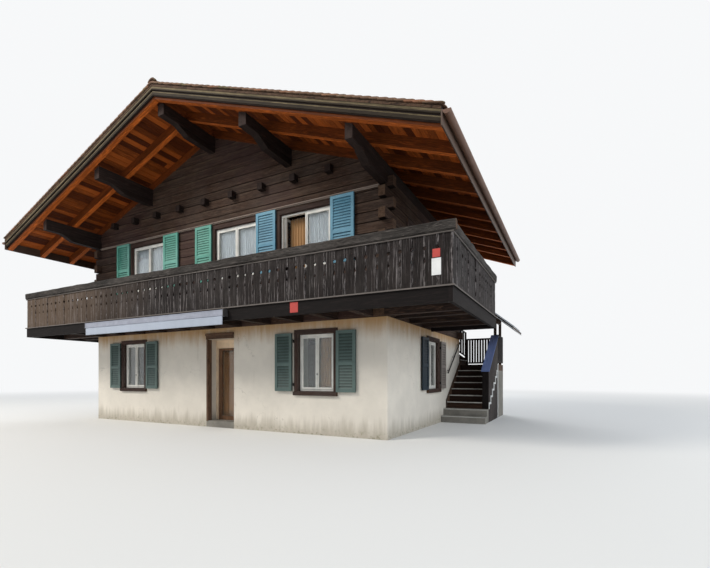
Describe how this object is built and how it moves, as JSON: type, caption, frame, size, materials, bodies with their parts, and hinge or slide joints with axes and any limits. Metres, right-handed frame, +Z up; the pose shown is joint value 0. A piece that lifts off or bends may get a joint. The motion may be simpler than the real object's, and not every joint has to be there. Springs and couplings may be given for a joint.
{
  "type": "chalet",
  "caption": "Alpine chalet: white rendered ground floor, dark log storey with crossed corners, broad tiled purlin roof, plank balcony round the front, outside stair and a front door that opens.",
  "frame": {"origin": "On the ground under the ridge, halfway along the roof: bottom centre of the whole building", "axes": "+X to the right seen from in front of the front gable, +Y from the front gable to the rear, +Z up"},
  "size_m": [13.456, 9.1, 7.9517],
  "materials": {
    "masonry": "rough lime render, off-white",
    "stone": "weathered concrete and stone",
    "timber": "dark stained and weathered softwood",
    "painted_timber": "painted softwood, white frames and green shutters",
    "clay": "weathered clay tiles",
    "glass": "clear window glass",
    "steel": "black painted steel",
    "awning_case": "white coated awning case",
    "cloth": "pale awning cloth"
  },
  "bodies": {
    "house": {"ground_floor": "stone", "front_wall_left": "masonry", "front_wall_right": "masonry", "front_wall_lintel": "masonry", "right_wall": "masonry", "left_wall": "masonry", "rear_wall": "masonry", "floor_beams": "timber", "floor_boards": "timber", "log_wall_front": "timber", "log_wall_rear": "timber", "log_wall_left": "timber", "log_wall_right": "timber", "ceiling_beams": "timber", "purlins": "timber", "purlin_consoles": "timber", "rafters": "timber", "roof_boards": "timber", "verge_boards": "timber", "eaves": "timber", "roof_tiles": "clay", "balcony_deck": "timber", "balcony_fascia": "timber", "front_parapet": "timber", "side_parapets": "timber", "balcony_rails": "timber", "parapet_posts": "timber", "window_frames": "painted_timber", "open_window": "painted_timber", "window_glass": "glass", "timber_casings": "timber", "upper_shutters": "painted_timber", "lower_shutters": "painted_timber", "door_frame": "painted_timber", "stair_base": "stone", "stair_treads": "timber", "stair_parapet": "timber", "stair_frame": "timber", "stair_railings": "timber", "handrail": "steel", "stair_canopy": "timber", "awning_box": "awning_case", "awning_valance": "cloth"},
    "door": {"front_door": "painted_timber", "door_glass": "glass"}
  },
  "joints": [
    {"name": "front_door_hinge", "type": "hinge", "parent": "house", "child": "door", "pos_m": [-0.1455, -2.318, 1.1], "axis": [0, 0, 1], "range_deg": [0, 90]}
  ]
}
